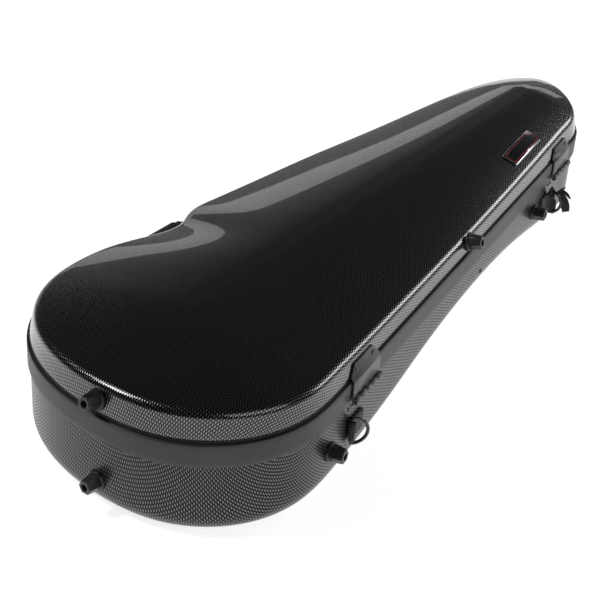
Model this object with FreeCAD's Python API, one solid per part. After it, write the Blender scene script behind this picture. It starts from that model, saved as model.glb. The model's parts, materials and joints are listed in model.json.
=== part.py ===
import FreeCAD, Part
import math
import os

# Shaped hard case for a violin, in millimetres.
# +Y runs from the wide end to the neck end, +X towards the hinge side, +Z up.
# The origin is the centre of the flat rest face under the wide end.

Vec = FreeCAD.Vector

# ---- driving dimensions -------------------------------------------------------------
SHELL_WALL = 3.0          # thickness of both shells
HINGE_SIDE = [(132.7, 44.0), (66.5, 594.0)]   # the straight side, wide end first
STRAIGHT_STEPS = 22       # points along the straight side
RING_POINTS = 84          # points of each offset outline

TUB_TOP = 86.0            # top edge of the base shell
RIM_BOTTOM = 67.0         # lower edge of the rim profile
RIM_TOP = 87.4
RIM_OUT = 2.3             # how far the rim stands out of the shell
RIM_IN = 4.0              # how far its top web reaches inwards
GASKET_TOP = 89.8
GASKET_OUT = -0.3
GASKET_IN = -3.6
LID_EDGE = 90.0           # lower edge of the lid

BOTTOM_RADIUS = 20.0      # round of the base's lower edge
ARCH_LIFT = 27.0          # how far the bottom rises between its two rest faces
ARCH_START = 20.0         # Y where the rise begins
ARCH_PEAK = 342.0
ARCH_END = 645.0

RIDGE_Z = 104.8           # top of the lid's ridge at mid-length
RIDGE_RISE = 9.0          # how much higher the ridge is at the ends
RIDGE_MID_Y = 290.0
RIDGE_HALF = 390.0
RIDGE_RADIUS = 8.0
LID_DRAFT = 0.2           # lean of the lid's wall, mm per mm
LID_TOP = 124.5
CROWN_POWER = 1.5         # shape of the crown: 1 is a tent, 2 is a parabola
SPINE_HALF_X = 5.0        # the crown rises towards this flat line
SPINE_Y = (20.0, 600.0)

LINER_GAP = 0.2           # between lining and shell
LINER_TOP = 84.0
LID_LINER_THICK = 4.0

FOOT_BASE_R = 8.5
FOOT_DISC = 2.4
FOOT_TIP_R = 6.2
FOOT_HEIGHT = 13.5
FOOT_HOLE_R = 2.9
FOOT_HOLE_DEPTH = 8.0

HINGE_WIDTH = 48.0
HINGE_Y = (77.0, 549.0)   # middles of the two hinges
HINGE_OUT = 5.6           # hinge axis, outwards from the shell
HINGE_Z = 70.0
BARREL_R = 2.5
PIN_R = 1.2
RUN_CLEAR = 0.05          # radial running clearance of every pin
KNUCKLES = 5
LEAF_THICK = 1.3

LATCH_AT = [(-130.5, 79.0), (-64.5, 601.0)]
DRING_AT = [(130.8, 59.0, 38.0), (74.3, 529.0, 42.0)]
HANDLE_AXIS = (-128.5, 74.0)      # x and z of the handle's pivot line
HANDLE_Y = (110.0, 220.0)         # inner faces of the two brackets
HANDLE_REACH = 20.4
HANDLE_DROOP = 17.0               # degrees below level, at rest on its stops
HANDLE_R = 7.5
HANDLE_BOSS_R = 4.6       # round boss beside each bracket
HANDLE_BEND = 12.0        # bend radius between the arms and the grip


# ---- outline ------------------------------------------------------------------------
def outline_curve():
    """The shell's outer outline at the opening, anticlockwise, seen from above."""
    wide_end = [(3.6, -101.9), (65.7, -96.1), (115.1, -60.1), (134.6, -13.9)]
    (x0, y0), (x1, y1) = HINGE_SIDE
    straight = []
    for step in range(STRAIGHT_STEPS + 1):
        part = step / STRAIGHT_STEPS
        straight.append((x0 + (x1 - x0) * part, y0 + (y1 - y0) * part))
    neck_end = [(56, 622), (36, 648), (10, 667), (-14, 671), (-38, 657), (-57, 627)]
    far_side = [(-71.9, 576.2), (-84.3, 499.9), (-95.7, 420), (-107.9, 338.2), (-115.9, 265.5)]
    handle_recess = [(-122.8, 200), (-123.5, 177), (-118.5, 159), (-113.5, 144), (-115, 126), (-122, 105)]
    far_corner = [(-131, 78), (-135.5, 44.6), (-126, -18.4), (-93.6, -63.9), (-50.2, -89.9)]
    points = wide_end + straight + neck_end + far_side + handle_recess + far_corner
    curve = Part.BSplineCurve()
    curve.interpolate([Vec(x, y, 0) for x, y in points], PeriodicFlag=True)
    return curve


OUTLINE = outline_curve()


def offset_points(offset):
    """Points round the outline, moved outwards by offset."""
    first, last = OUTLINE.FirstParameter, OUTLINE.LastParameter
    points = []
    for i in range(RING_POINTS):
        u = first + (last - first) * i / RING_POINTS
        p = OUTLINE.value(u)
        t = OUTLINE.tangent(u)[0]
        points.append((p.x + t.y * offset, p.y - t.x * offset))
    return points


def ring_through(points):
    curve = Part.BSplineCurve()
    curve.interpolate([Vec(*p) for p in points], PeriodicFlag=True)
    return Part.Wire(curve.toShape())


def ring(offset, z):
    return ring_through([(x, y, z) for x, y in offset_points(offset)])


def prism(offset, z0, z1):
    """The outline, offset, as a solid between two heights."""
    return Part.Face(ring(offset, z0)).extrude(Vec(0, 0, z1 - z0))


def wall_frame(x, y, z, tilt=0.0):
    """A place on the wall near (x, y): local X points out of it, local Y along it, Z up."""
    u = OUTLINE.parameter(Vec(x, y, 0))
    p = OUTLINE.value(u)
    t = OUTLINE.tangent(u)[0]
    turn = FreeCAD.Rotation(Vec(0, 0, 1), math.degrees(math.atan2(-t.x, t.y)))
    lean = FreeCAD.Rotation(Vec(0, 1, 0), -tilt)
    return FreeCAD.Placement(Vec(p.x, p.y, z), turn.multiply(lean))


def hinge_frame(y):
    """On the straight side at height zero, with local Y exactly along that side."""
    (x0, y0), (x1, y1) = HINGE_SIDE
    part = (y - y0) / (y1 - y0)
    turn = math.degrees(math.atan2(x0 - x1, y1 - y0))
    return FreeCAD.Placement(Vec(x0 + (x1 - x0) * part, y, 0), FreeCAD.Rotation(Vec(0, 0, 1), turn))


def placed(shape, frame):
    out = shape.copy()
    out.Placement = frame.multiply(out.Placement)
    return out


def slab(x0, x1, y0, y1, z0, z1):
    return Part.makeBox(x1 - x0, y1 - y0, z1 - z0, Vec(x0, y0, z0))


def rod(radius, start, end):
    a, b = Vec(*start), Vec(*end)
    return Part.makeCylinder(radius, (b - a).Length, a, b - a)


def profile_along_y(points, y0, y1):
    """An (x, z) polygon extruded from y0 to y1."""
    corners = [Vec(x, y0, z) for x, z in points]
    face = Part.Face(Part.makePolygon(corners + corners[:1]))
    return face.extrude(Vec(0, y1 - y0, 0))


# ---- base shell ---------------------------------------------------------------------
def arch_cutter(lift_off):
    """Everything below the bottom: flat, then up and down in four tangent arcs, then flat."""
    reach = 800.0
    half = 200.0

    def at(y, z):
        return Vec(-half, y, z + lift_off)

    def s_curve(y0, z0, y1, z1):
        """Two equal tangent arcs from one level stretch to another."""
        dy, dz = (y1 - y0) / 2, (z1 - z0) / 2
        radius = (dy * dy + dz * dz) / (2 * abs(dz))
        sag = radius - math.sqrt(radius * radius - dy * dy / 4)
        sag = math.copysign(sag, dz)
        middle = at(y0 + dy, z0 + dz)
        first = Part.Arc(at(y0, z0), at(y0 + dy / 2, z0 + sag), middle)
        second = Part.Arc(middle, at(y1 - dy / 2, z1 - sag), at(y1, z1))
        return [first, second]

    edges = [Part.LineSegment(at(-reach, 0), at(ARCH_START, 0))]
    edges += s_curve(ARCH_START, 0, ARCH_PEAK, ARCH_LIFT)
    edges += s_curve(ARCH_PEAK, ARCH_LIFT, ARCH_END, 0)
    edges.append(Part.LineSegment(at(ARCH_END, 0), at(reach, 0)))
    edges.append(Part.LineSegment(at(reach, 0), at(reach, -half)))
    edges.append(Part.LineSegment(at(reach, -half), at(-reach, -half)))
    edges.append(Part.LineSegment(at(-reach, -half), at(-reach, 0)))
    wire = Part.Wire([edge.toShape() for edge in edges])
    return Part.Face(wire).extrude(Vec(2 * half, 0, 0))


def tub(inset, top):
    """The base's form, inset by a distance on every side, with its lower edge rounded."""
    solid = prism(-inset, -20.0, top).cut(arch_cutter(inset))
    lower = [edge for edge in solid.Edges if edge.BoundBox.ZMax < TUB_TOP / 2]
    return solid.makeFillet(BOTTOM_RADIUS - inset, lower)


def base_shell():
    return tub(0.0, TUB_TOP).cut(tub(SHELL_WALL, TUB_TOP + 1))


def base_rim():
    outer = prism(RIM_OUT, RIM_BOTTOM, RIM_TOP)
    return outer.cut(prism(0.0, RIM_BOTTOM - 1, TUB_TOP)).cut(prism(-RIM_IN, RIM_BOTTOM - 1, RIM_TOP + 1))


def rim_gasket():
    return prism(GASKET_OUT, RIM_TOP, GASKET_TOP).cut(prism(GASKET_IN, RIM_TOP - 1, GASKET_TOP + 1))


# ---- lid shell ----------------------------------------------------------------------
def ridge_z(y):
    return RIDGE_Z + RIDGE_RISE * ((y - RIDGE_MID_Y) / RIDGE_HALF) ** 2


def lid_form(inset, start_z=LID_EDGE):
    """The lid's form: a leaning wall, a round ridge and a crown, moved inwards by inset."""
    rings = [ring(-inset - LID_DRAFT * (start_z - LID_EDGE), start_z)]
    for angle in (0, 25, 50, 75):
        a = math.radians(angle)
        points = []
        for (x, y), (xi, yi) in zip(offset_points(-inset), offset_points(-inset - 1.0)):
            wall_top = ridge_z(y) - inset - RIDGE_RADIUS
            back = LID_DRAFT * (wall_top - LID_EDGE) + RIDGE_RADIUS * (1 - math.cos(a))
            z = wall_top + RIDGE_RADIUS * math.sin(a)
            points.append((x + (xi - x) * back, y + (yi - y) * back, z))
        rings.append(ring_through(points))
    edge = points
    top = LID_TOP - inset
    for part in (0.08, 0.18, 0.3, 0.45, 0.62, 0.8, 0.96):
        points = []
        for x, y, z in edge:
            to_x = min(max(x, -SPINE_HALF_X), SPINE_HALF_X)
            to_y = min(max(y, SPINE_Y[0]), SPINE_Y[1])
            up = 1 - (1 - part) ** CROWN_POWER if part < 0.96 else 1.0
            points.append((x + (to_x - x) * part, y + (to_y - y) * part, z + (top - z) * up))
        rings.append(ring_through(points))
    return Part.makeLoft(rings, True, True)


def lid_shell():
    return lid_form(0.0).cut(lid_form(SHELL_WALL, LID_EDGE - 1))


def lid_liner():
    inner = SHELL_WALL + LINER_GAP + LID_LINER_THICK
    return lid_form(SHELL_WALL + LINER_GAP, LID_EDGE + 1).cut(lid_form(inner, LID_EDGE))


def lid_cavity():
    return lid_form(SHELL_WALL + LINER_GAP + LID_LINER_THICK, LID_EDGE)


# ---- lining -------------------------------------------------------------------------
BODY_FLOOR = 36.0
NECK_FLOOR = 46.0
SCROLL_FLOOR = 38.0
NECK_HALF = 24.0
CRADLE_Y = (350.0, 386.0)
WELL = (36.0, 76.0, 320.0, 430.0)     # accessory well: x0, x1, y0, y1


def violin_recess():
    """Room for the instrument: body, neck channel and scroll pocket."""
    half = [(0, -72), (66, -62), (102, -20), (104, 30), (84, 90), (76, 130), (84, 178), (86, 222), (62, 272)]
    right = half + [(0, 288)]
    left = [(-x, y) for x, y in reversed(half[1:])]
    body = Part.Face(ring_through([(x, y, BODY_FLOOR) for x, y in right + left]))
    body = body.extrude(Vec(0, 0, LID_EDGE - BODY_FLOOR))
    neck = slab(-NECK_HALF, NECK_HALF, 270, 480, NECK_FLOOR, LID_EDGE)
    pocket = slab(-34, 34, 455, 590, SCROLL_FLOOR, LID_EDGE)
    upright = [edge for edge in pocket.Edges if abs(edge.BoundBox.ZLength - (LID_EDGE - SCROLL_FLOOR)) < 0.01]
    pocket = pocket.makeFillet(14.0, upright)
    return body.fuse(neck).fuse(pocket)


def base_liner():
    block = tub(SHELL_WALL + LINER_GAP, LINER_TOP)
    well = slab(*WELL, NECK_FLOOR, LID_EDGE)
    return block.cut(violin_recess()).cut(well)


def neck_cradle():
    block = slab(-NECK_HALF + 0.2, NECK_HALF - 0.2, *CRADLE_Y, NECK_FLOOR, 78)
    notch = rod(14.0, (0, CRADLE_Y[0] - 1, 78), (0, CRADLE_Y[1] + 1, 78))
    return block.cut(notch)


def neck_strap():
    """A flat strap over the neck, fixed on the lining at both sides of the channel."""
    return slab(-42, 42, CRADLE_Y[0] + 6, CRADLE_Y[1] - 6, LINER_TOP, LINER_TOP + 1.8)


def accessory_pouch():
    x0, x1, y0, y1 = WELL
    block = slab(x0 + 1.5, x1 - 1.5, y0 + 1.5, y1 - 1.5, NECK_FLOOR, 80)
    return block.makeFillet(5.0, block.Edges)


# ---- feet ---------------------------------------------------------------------------
def foot():
    """A rubber stud along local +X: a round base, a six-sided taper and a hole in its tip."""
    base = Part.makeCylinder(FOOT_BASE_R, FOOT_DISC, Vec(0, 0, 0), Vec(1, 0, 0))
    wires = []
    for x, radius in ((FOOT_DISC, FOOT_BASE_R - 0.6), (FOOT_HEIGHT, FOOT_TIP_R)):
        corners = []
        for i in range(7):
            a = math.radians(60 * i)
            corners.append(Vec(x, radius * math.cos(a), radius * math.sin(a)))
        wires.append(Part.makePolygon(corners))
    taper = Part.makeLoft(wires, True, True)
    hole = rod(FOOT_HOLE_R, (FOOT_HEIGHT - FOOT_HOLE_DEPTH, 0, 0), (FOOT_HEIGHT + 1, 0, 0))
    return base.fuse(taper).cut(hole).removeSplitter()


def foot_screw():
    """The fixing screw at the bottom of the hole: a low domed head."""
    start = FOOT_HEIGHT - FOOT_HOLE_DEPTH
    return rod(FOOT_HOLE_R - 0.5, (start, 0, 0), (start + 1.6, 0, 0))


FEET = {
    "base_end": (9.0, -102.0, 26.0, 0.0),
    "base_near": (134.0, 27.0, 37.0, 0.0),
    "base_far": (79.0, 488.0, 46.0, 0.0),
    "lid_end": (8.3, -102.0, 99.6, 11.0),
    "lid_side": (100.0, 298.0, 98.6, 11.0),
}


def foot_frame(name):
    x, y, z, tilt = FEET[name]
    frame = wall_frame(x, y, z, tilt)
    back = LID_DRAFT * (z - LID_EDGE) if name.startswith("lid") else 0.0
    frame.Base = frame.Base - frame.Rotation.multVec(Vec(back - 0.4, 0, 0)) if back else frame.Base
    return frame


# ---- hinges -------------------------------------------------------------------------
def knuckle_span(index):
    step = HINGE_WIDTH / KNUCKLES
    gap = 0.15
    start = -HINGE_WIDTH / 2 + index * step
    return start + gap, start + step - gap


def hinge_lid_leaf():
    """Leaf over the rim, bent in at the seam onto the lid, with three of the five knuckles."""
    inner = [(3.0, HINGE_Z + 0.5), (3.0, 87.6), (-0.1, 91.8), (-1.6, 99.5)]
    outer = [(x + LEAF_THICK, z) for x, z in reversed(inner)]
    half = HINGE_WIDTH / 2
    leaf = profile_along_y(inner + outer, -half, half)
    corner = 9.0
    for side in (-1, 1):
        tip = [Vec(-10, side * (half + 1), 101), Vec(-10, side * (half - corner), 101)]
        tip.append(Vec(-10, side * (half + 1), 101 - corner * 1.2))
        leaf = leaf.cut(Part.Face(Part.makePolygon(tip + tip[:1])).extrude(Vec(20, 0, 0)))
    for index in range(KNUCKLES):
        y0, y1 = knuckle_span(index)
        if index % 2 == 0:
            leaf = leaf.fuse(rod(BARREL_R, (HINGE_OUT, y0, HINGE_Z), (HINGE_OUT, y1, HINGE_Z)))
        else:
            leaf = leaf.cut(slab(0, 12, y0 - 0.5, y1 + 0.5, 60, HINGE_Z + BARREL_R + 1.2))
    bore = rod(PIN_R + RUN_CLEAR, (HINGE_OUT, -half - 1, HINGE_Z), (HINGE_OUT, half + 1, HINGE_Z))
    return leaf.cut(bore).removeSplitter()


def hinge_base_leaf():
    """Strip under the rim with a web out to each of its two knuckles."""
    half = HINGE_WIDTH / 2
    leaf = slab(0.05, 1.3, -half + 3, half - 3, 63.6, RIM_BOTTOM - 0.1)
    web = [(0.05, 64.6), (4.6, 65.2), (6.4, 67.9), (5.6, 69.0), (3.9, 68.9), (2.4, 66.9), (0.05, 66.9)]
    for index in (1, 3):
        y0, y1 = knuckle_span(index)
        leaf = leaf.fuse(profile_along_y(web, y0, y1))
        leaf = leaf.fuse(rod(BARREL_R, (HINGE_OUT, y0, HINGE_Z), (HINGE_OUT, y1, HINGE_Z)))
    bore = rod(PIN_R, (HINGE_OUT, -half - 1, HINGE_Z), (HINGE_OUT, half + 1, HINGE_Z))
    return leaf.cut(bore)


def hinge_pin():
    half = HINGE_WIDTH / 2 - 0.2
    return rod(PIN_R, (HINGE_OUT, -half, HINGE_Z), (HINGE_OUT, half, HINGE_Z))


def domed_head(radius, height):
    """A rivet head along local +X from its flat seat."""
    ball = (radius * radius + height * height) / (2 * height)
    dome = Part.makeSphere(ball, Vec(height - ball, 0, 0))
    return dome.common(slab(0, height, -radius, radius, -radius, radius))


def hinge_rivet(side):
    frame = FreeCAD.Placement(Vec(0.78, side * 15.0, 94.2), FreeCAD.Rotation(Vec(0, 1, 0), -11.0))
    return placed(domed_head(2.6, 1.1), frame)


def wall_rivets(hinge_y):
    """Two small rivets in the base wall, below the wide end of each hinge."""
    low = placed(domed_head(2.0, 1.0), FreeCAD.Placement(Vec(0.05, -15.0, 60.2), FreeCAD.Rotation()))
    high = placed(domed_head(2.0, 1.0), FreeCAD.Placement(Vec(0.05, -21.5, 60.2), FreeCAD.Rotation()))
    return placed(Part.makeCompound([low, high]), hinge_frame(hinge_y))


# ---- D-rings ------------------------------------------------------------------------
DRING_BAR_OUT = 3.4
DRING_HALF = 12.0
DRING_DEPTH = 13.0
DRING_WIRE = 1.5
TAB_LENGTH = 22.0
TAB_HALF = 9.5
TAB_THICK = 2.4
DRING_REST_TURN = (-40.0, 0.0)    # how far each ring leans from square to the wall


def dring_frame(number):
    """The lower ring's tab runs towards the neck end, the upper ring's the other way."""
    frame = wall_frame(*DRING_AT[number - 1])
    half_turn = FreeCAD.Rotation(Vec(1, 0, 0), 180 if number == 1 else 0)
    return frame.multiply(FreeCAD.Placement(Vec(0, 0, 0), half_turn))


def dring_tab():
    """Webbing folded round the ring's straight bar and laid flat on the wall."""
    strip = slab(0.1, TAB_THICK, -TAB_LENGTH, -0.5, -TAB_HALF, TAB_HALF)
    loop = rod(DRING_BAR_OUT - 0.1, (DRING_BAR_OUT, 0, -TAB_HALF), (DRING_BAR_OUT, 0, TAB_HALF))
    bore = rod(DRING_WIRE + RUN_CLEAR, (DRING_BAR_OUT, 0, -20), (DRING_BAR_OUT, 0, 20))
    return strip.fuse(loop).cut(bore)


def dring(lean=0.0):
    bar = rod(DRING_WIRE, (0, 0, -DRING_HALF), (0, 0, DRING_HALF))
    arc = Part.Arc(Vec(0, 0, DRING_HALF), Vec(DRING_DEPTH, 0, 0), Vec(0, 0, -DRING_HALF))
    start = arc.value(arc.FirstParameter)
    along = arc.tangent(arc.FirstParameter)[0]
    section = Part.Wire(Part.makeCircle(DRING_WIRE, start, along))
    bow = Part.Wire(arc.toShape()).makePipeShell([section], True, True)
    out = bar.fuse(bow)
    for z in (-DRING_HALF, DRING_HALF):
        out = out.fuse(Part.makeSphere(DRING_WIRE, Vec(0, 0, z)))
    turn = FreeCAD.Rotation(Vec(0, 0, 1), lean)
    return placed(out, FreeCAD.Placement(Vec(DRING_BAR_OUT, 0, 0), turn))


def tag_ribbon():
    """The space of the small ribbon tied to the upper ring."""
    ball = Part.makeSphere(1.0)
    stretch = FreeCAD.Matrix(6.5, 0, 0, DRING_BAR_OUT + DRING_DEPTH, 0, 7.0, 0, 0, 0, 0, 12.5, 1.0)
    return ball.transformGeometry(stretch).cut(dring())


# ---- handle -------------------------------------------------------------------------
BRACKET_LENGTH = 11.0


def handle_bracket(y0):
    """Block on the rim with the pivot's bore, shaped to the rim behind it."""
    x, z = HANDLE_AXIS
    block = slab(x - 5, x + 18, y0, y0 + BRACKET_LENGTH, z - 5.5, z + 5.5)
    block = block.cut(prism(RIM_OUT + 0.02, 60, LID_EDGE))
    bore = rod(2.0 + RUN_CLEAR, (x, y0 - 1, z), (x, y0 + BRACKET_LENGTH + 1, z))
    return block.cut(bore)


def handle():
    """Bow-shaped grip with a pivot stub in each bracket, drooping onto its stops."""
    reach, arm_r = HANDLE_REACH, HANDLE_R - 2.5
    middle = sum(HANDLE_Y) / 2
    half = middle - HANDLE_Y[0]
    arm_y, corner_y = half - 7.0, half - 28.0     # along Y, from the handle's middle
    slant = math.atan2(reach, arm_y - corner_y)
    bend_y = corner_y - HANDLE_BEND * math.tan(slant / 2)
    bend_start = (HANDLE_BEND - reach - HANDLE_BEND * math.cos(slant), bend_y + HANDLE_BEND * math.sin(slant), 0)
    grip = rod(arm_r, (-reach, -bend_y, 0), (-reach, bend_y, 0))
    bulge = rod(HANDLE_R, (-reach, 30 - half, 0), (-reach, half - 30, 0))
    grip = grip.fuse(bulge.makeFillet(3.0, [edge for edge in bulge.Edges if edge.Closed]))
    section = Part.Face(Part.Wire(Part.makeCircle(arm_r, Vec(-reach, bend_y, 0), Vec(0, 1, 0))))
    bend = section.revolve(Vec(HANDLE_BEND - reach, bend_y, 0), Vec(0, 0, 1), -math.degrees(slant))
    arm = bend.fuse(rod(arm_r, (0, arm_y, 0), bend_start)).fuse(Part.makeSphere(HANDLE_BOSS_R, Vec(0, arm_y, 0)))
    arm = arm.fuse(rod(HANDLE_BOSS_R, (0, arm_y - 1, 0), (0, half - 0.4, 0)))
    arm = arm.fuse(rod(2.0, (0, half - 1, 0), (0, half + 8, 0)))
    grip = grip.fuse(arm).fuse(arm.mirror(Vec(0, 0, 0), Vec(0, 1, 0)))
    x, z = HANDLE_AXIS
    return placed(grip, FreeCAD.Placement(Vec(x, middle, z), FreeCAD.Rotation(Vec(0, 1, 0), -HANDLE_DROOP)))


# ---- latches ------------------------------------------------------------------------
LEVER_PIVOT = (6.5, 82.0)
BAIL_PIVOT = (7.5, 76.0)
BAIL_TOP = 95.0
LEVER_HALF = 9.6
BAIL_HALF = 13.8
BAIL_WIRE = 1.2
LATCH_PIN_R = 1.45


def latch_plate():
    """Plate on the rim with two ears for the lever's pin."""
    x, z = LEVER_PIVOT
    plate = slab(RIM_OUT + 0.05, 3.85, -13, 13, 68.5, 86.5)
    for side in (-1, 1):
        y0, y1 = sorted((side * 10.2, side * 12.2))
        plate = plate.fuse(slab(3.8, 9.0, y0, y1, 78.4, 85.6))
    return plate.cut(rod(LATCH_PIN_R, (x, -20, z), (x, 20, z)))


def latch_pin():
    x, z = LEVER_PIVOT
    return rod(LATCH_PIN_R, (x, -12.6, z), (x, 12.6, z))


def latch_lever():
    """Closed, the lever hangs from its pivot and lies along the case; its tip turns out."""
    x, z = LEVER_PIVOT
    side = [(4.9, z - 1.6), (5.1, 56), (6.6, 51), (10.5, 49), (11.4, 50.6), (8.6, 52.4), (8.2, 57), (8.6, z - 1)]
    lever = profile_along_y(side, -LEVER_HALF, LEVER_HALF)
    lever = lever.fuse(rod(2.5, (x, -LEVER_HALF, z), (x, LEVER_HALF, z)))
    lever = lever.cut(rod(LATCH_PIN_R + RUN_CLEAR, (x, -20, z), (x, 20, z)))
    bx, bz = BAIL_PIVOT
    lever = lever.fuse(rod(2.4, (bx, -LEVER_HALF, bz), (bx, LEVER_HALF, bz)))
    return lever.cut(rod(BAIL_WIRE + RUN_CLEAR, (bx, -20, bz), (bx, 20, bz)))


def latch_bail():
    """A wire loop: two stubs in the lever, two uprights and the crossbar at the keeper."""
    x, z = BAIL_PIVOT
    bail = rod(BAIL_WIRE, (x, -BAIL_HALF, BAIL_TOP), (x, BAIL_HALF, BAIL_TOP))
    for side in (-1, 1):
        y = side * BAIL_HALF
        bail = bail.fuse(rod(BAIL_WIRE, (x, y, z), (x, y, BAIL_TOP)))
        bail = bail.fuse(rod(BAIL_WIRE, (x, y, z), (x, side * (LEVER_HALF - 4), z)))
        for end in (z, BAIL_TOP):
            bail = bail.fuse(Part.makeSphere(BAIL_WIRE, Vec(x, y, end)))
    return bail


def latch_keeper():
    """Plate on the lid's leaning wall with an upturned lip just inside the crossbar."""
    back = [(-LID_DRAFT * (z - LID_EDGE) + 0.05, z) for z in (90.4, 95.6)]
    front = [(x + 1.3, z) for x, z in reversed(back)]
    plate = profile_along_y(back + front, -9, 9)
    lip = [(0.3, 90.4), (5.7, 90.4), (5.7, 95.8), (4.5, 95.8), (4.5, 91.7), (0.3, 91.7)]
    return plate.fuse(profile_along_y(lip, -7, 7))


# ---- badge and bow holders ----------------------------------------------------------
BADGE_AT = (57.9, 483.8)
BADGE_SIZE = (16.4, 69.4)
BADGE_THICK = 1.7
BOW_X = 26.0
BOW_SPINNER_Y = -30.0
BOW_POCKET_Y = 560.0
BOW_POST_Z = 100.0


def badge_plate():
    """A blank plate that follows the lid's crown, in line with the hinge side."""
    w, h = BADGE_SIZE
    blank = slab(-w / 2, w / 2, -h / 2, h / 2, LID_EDGE, 140)
    turn = hinge_frame(BADGE_AT[1]).Rotation
    blank = placed(blank, FreeCAD.Placement(Vec(*BADGE_AT, 0), turn))
    return blank.common(lid_form(-BADGE_THICK)).cut(lid_form(-0.02))


def bow_mount(x):
    """Post under the lid's lining with the spinner's pin."""
    post = rod(8.5, (x, BOW_SPINNER_Y, BOW_POST_Z), (x, BOW_SPINNER_Y, 130)).common(lid_cavity())
    return post.fuse(rod(2.0, (x, BOW_SPINNER_Y, 93.0), (x, BOW_SPINNER_Y, BOW_POST_Z)))


def bow_spinner(x):
    """A turning finger that keeps the bow's frog end in place."""
    disc = rod(8.0, (x, BOW_SPINNER_Y, 94.0), (x, BOW_SPINNER_Y, BOW_POST_Z - 0.3))
    finger = slab(x - 4, x + 4, BOW_SPINNER_Y, BOW_SPINNER_Y + 26, 94.0, 97.5)
    tip = rod(4.0, (x, BOW_SPINNER_Y + 26, 94.0), (x, BOW_SPINNER_Y + 26, 97.5))
    bore = rod(2.0 + RUN_CLEAR, (x, BOW_SPINNER_Y, 90), (x, BOW_SPINNER_Y, 102))
    return disc.fuse(finger).fuse(tip).cut(bore)


def bow_pocket(x):
    """Sleeve for the bow's tip, open towards the wide end."""
    block = slab(x - 9, x + 9, BOW_POCKET_Y, BOW_POCKET_Y + 32, BOW_POST_Z - 2, 130).common(lid_cavity())
    return block.cut(slab(x - 6, x + 6, BOW_POCKET_Y - 1, BOW_POCKET_Y + 28, BOW_POST_Z, BOW_POST_Z + 9))


# ---- assembly -----------------------------------------------------------------------
def build():
    parts = {
        "base_shell": base_shell(),
        "base_rim": base_rim(),
        "rim_gasket": rim_gasket(),
        "base_liner": base_liner(),
        "neck_cradle": neck_cradle(),
        "neck_strap": neck_strap(),
        "accessory_pouch": accessory_pouch(),
        "lid_shell": lid_shell(),
        "lid_liner": lid_liner(),
        "badge_plate": badge_plate(),
        "handle": handle(),
    }
    for name in FEET:
        parts["foot_" + name] = placed(foot(), foot_frame(name))
        parts["foot_screw_" + name] = placed(foot_screw(), foot_frame(name))
    for number, y in enumerate(HINGE_Y, 1):
        frame = hinge_frame(y)
        parts["hinge_lid_leaf_%d" % number] = placed(hinge_lid_leaf(), frame)
        parts["hinge_base_leaf_%d" % number] = placed(hinge_base_leaf(), frame)
        parts["hinge_pin_%d" % number] = placed(hinge_pin(), frame)
        parts["hinge_rivet_%da" % number] = placed(hinge_rivet(-1), frame)
        parts["hinge_rivet_%db" % number] = placed(hinge_rivet(1), frame)
        parts["wall_rivets_%d" % number] = wall_rivets(y)
    parts["wall_stud"] = placed(domed_head(2.2, 1.0), hinge_frame(341.0).multiply(
        FreeCAD.Placement(Vec(0.1, 0, 47.0), FreeCAD.Rotation())))
    for number, lean in enumerate(DRING_REST_TURN, 1):
        frame = dring_frame(number)
        rivet = FreeCAD.Placement(Vec(TAB_THICK, -TAB_LENGTH + 6, 0), FreeCAD.Rotation())
        parts["dring_tab_%d" % number] = placed(dring_tab(), frame)
        parts["dring_tab_rivet_%d" % number] = placed(placed(domed_head(2.8, 1.2), rivet), frame)
        parts["dring_%d" % number] = placed(dring(lean), frame)
    parts["tag_ribbon"] = placed(tag_ribbon(), dring_frame(2))
    parts["handle_bracket_1"] = handle_bracket(HANDLE_Y[0] - BRACKET_LENGTH)
    parts["handle_bracket_2"] = handle_bracket(HANDLE_Y[1])
    for number, (x, y) in enumerate(LATCH_AT, 1):
        frame = wall_frame(x, y, 0)
        parts["latch_plate_%d" % number] = placed(latch_plate(), frame)
        parts["latch_pin_%d" % number] = placed(latch_pin(), frame)
        parts["latch_lever_%d" % number] = placed(latch_lever(), frame)
        parts["latch_bail_%d" % number] = placed(latch_bail(), frame)
        parts["latch_keeper_%d" % number] = placed(latch_keeper(), frame)
    for number, x in enumerate((-BOW_X, BOW_X), 1):
        parts["bow_mount_%d" % number] = bow_mount(x)
        parts["bow_spinner_%d" % number] = bow_spinner(x)
        parts["bow_pocket_%d" % number] = bow_pocket(x * 0.5)
    return parts


os.makedirs("parts", exist_ok=True)
for node, shape in build().items():
    shape.exportStep("parts/%s.step" % node)
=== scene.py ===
import bpy
import bmesh
import json
import math
import numpy as np
from mathutils import Matrix, Vector
from mathutils.bvhtree import BVHTree


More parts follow.
